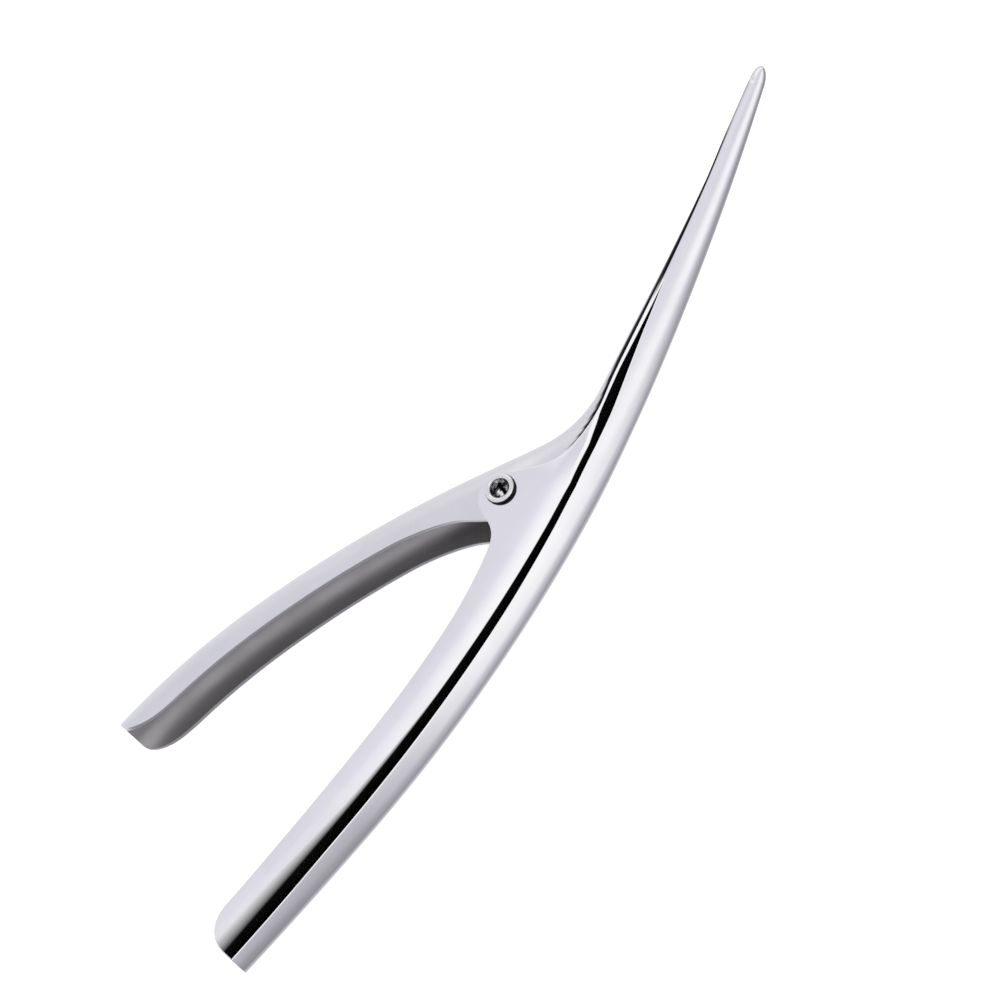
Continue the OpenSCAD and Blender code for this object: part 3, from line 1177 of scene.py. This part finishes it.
    # the flag's edges in the polished bend, as the slope of the skin in degrees, along the back line
    FLAG_LOW = ((0, 28.5), (10, 30), (26, 33.3), (42, 35.5), (58, 36.8), (82, 38), (98, 40.5),
                (106, 42.5), (114, 50), (122, 60.5), (130, 71), (138, 81), (148, 89.5))
    FLAG_HIGH = ((0, 44.5), (10, 47), (26, 49), (42, 50.5), (58, 51), (98, 51), (106, 52), (114, 61),
                 (122, 83), (130, 89.5), (148, 89.5))
    FLAG_SOFT = ((0, 20), (18, 17), (34, 9), (50, 5), (60, 1.5), (90, 1), (112, 1), (122, 0.5), (148, 0.3))
    FLAG_SHINE = ((0, 0.05), (98, 0.05), (112, 6), (122, 9), (148, 9))
    FLAG_THROW = 12  # how far off the skin the flag stands, in millimetres
    CARD_RADIUS = 6.5  # of the grey card, in millimetres
    CARD_THROW = 4  # how far beyond the nose the card stands, in millimetres

    def flag(self, context):
        """A narrow black flag with a white edge, off the near side, that the bend mirrors as one line.

        Each of its points is worked out from the camera's place, so the line lies right in that view only.
        """
        lever = LongLever(context.scene.sheller_levers)
        eye = context.scene.camera.matrix_world.translation
        end = self.FLAG_LOW[-1][0]
        rows = 145

        def straight(points, x):
            for (x0, y0), (x1, y1) in zip(points, points[1:]):
                if x <= x1:
                    return mix(y0, y1, (x - x0) / (x1 - x0))
            return points[-1][1]

        def surface(s, angle):
            half = lever.half(s)
            turn = math.radians(angle)
            return lever.point(s, half * (1 - math.cos(turn)), half * math.sin(turn))

        clear_selection()
        bpy.ops.mesh.primitive_grid_add(x_subdivisions=rows, y_subdivisions=5, size=2)
        piece = take("flag")
        light = piece.data.attributes.new("light", "FLOAT", "POINT")
        for vertex in piece.data.vertices:
            s = (vertex.co.x + 1) / 2 * end
            low, high = straight(self.FLAG_LOW, s), straight(self.FLAG_HIGH, s)
            soft, shine = straight(self.FLAG_SOFT, s), straight(self.FLAG_SHINE, s)
            glow = straight(((0, 0.78), (50, 1)), s)
            column = round((vertex.co.y + 1) / 2 * 5)
            angle = (low - 1.8, low - 0.1, low, high, high + soft, high + soft + shine)[column]
            light.data[vertex.index].value = (1, 1, 0, 0.003, glow, glow)[column]
            here = surface(s, angle)
            along = surface(s + 0.5, angle) - surface(s - 0.5, angle)
            round_it = surface(s, angle + 1) - surface(s, angle - 1)
            normal = along.cross(round_it).normalized()
            look = (eye - here).normalized()
            if normal.dot(look) < 0:
                normal = -normal
            vertex.co = here + (2 * normal.dot(look) * normal - look) * self.FLAG_THROW * MM
        material, tree, out = bare("Flag")
        shade = node(tree, "ShaderNodeAttribute", (-200, 0), attribute_name="light")
        glow = node(tree, "ShaderNodeEmission", (0, 0))
        tree.links.new(shade.outputs["Fac"], glow.inputs["Color"])
        tree.links.new(glow.outputs[0], out.inputs["Surface"])
        give(piece, material)
        self.unseen(piece)

    def card(self, context):
        """A small grey card under the nose, which draws its outline against the white floor."""
        lever = LongLever(context.scene.sheller_levers)
        away = context.scene.camera.matrix_world.to_3x3() @ Vector((0, 0, -1))
        clear_selection()
        bpy.ops.mesh.primitive_circle_add(vertices=48, radius=self.CARD_RADIUS * MM, fill_type="NGON")
        piece = take("card")
        nose = lever.point(lever.nose_at + lever.nose_length, lever.half(lever.nose_at), 0)
        piece.matrix_world = (
            Matrix.Translation(nose + away * self.CARD_THROW * MM)
            @ away.to_track_quat("Z", "Y").to_matrix().to_4x4()
        )
        settle(piece)
        material, tree, out = bare("Card")
        grey = node(tree, "ShaderNodeEmission", (0, 0))
        grey.inputs["Color"].default_value = (0.36, 0.355, 0.38, 1)
        tree.links.new(grey.outputs[0], out.inputs["Surface"])
        give(piece, material)
        self.unseen(piece)

    def unseen(self, piece):
        """A stage piece that shows only in reflections."""
        piece.visible_camera = False
        piece.visible_diffuse = False
        piece.visible_shadow = False


class ShellerPanel(bpy.types.Panel):
    """The tool's parts, in the order in which they are made"""

    bl_idname = "VIEW3D_PT_sheller"
    bl_label = "Shell Opener"
    bl_space_type = "VIEW_3D"
    bl_region_type = "UI"
    bl_category = "Shell Opener"

    def draw(self, context):
        for operator in OPERATORS:
            self.layout.operator(operator.bl_idname)
        for group in PROPERTIES:
            settings = getattr(context.scene, group)
            box = self.layout.box()
            for key in settings.__annotations__:
                box.prop(settings, key)


OPERATORS = (BuildStudio, BuildLongLever, BuildSecondLever, BuildRivet, BuildSpring)
PROPERTIES = {
    "sheller_levers": LeverSizes,
    "sheller_rivet": RivetSizes,
    "sheller_spring": SpringSizes,
    "sheller_steel": SteelFinish,
    "sheller_studio": StudioLook,
}


def register():
    for kind in (*PROPERTIES.values(), *OPERATORS, ShellerPanel):
        bpy.utils.register_class(kind)
    for name, kind in PROPERTIES.items():
        setattr(bpy.types.Scene, name, bpy.props.PointerProperty(type=kind))


def unregister():
    for name in PROPERTIES:
        delattr(bpy.types.Scene, name)
    for kind in reversed((*PROPERTIES.values(), *OPERATORS, ShellerPanel)):
        bpy.utils.unregister_class(kind)


def main():
    register()
    bpy.ops.sheller.studio()
    bpy.ops.sheller.long_lever()
    bpy.ops.sheller.second_lever()
    bpy.ops.sheller.rivet()
    bpy.ops.sheller.spring()
    clear_selection()


if __name__ == "__main__":
    main()
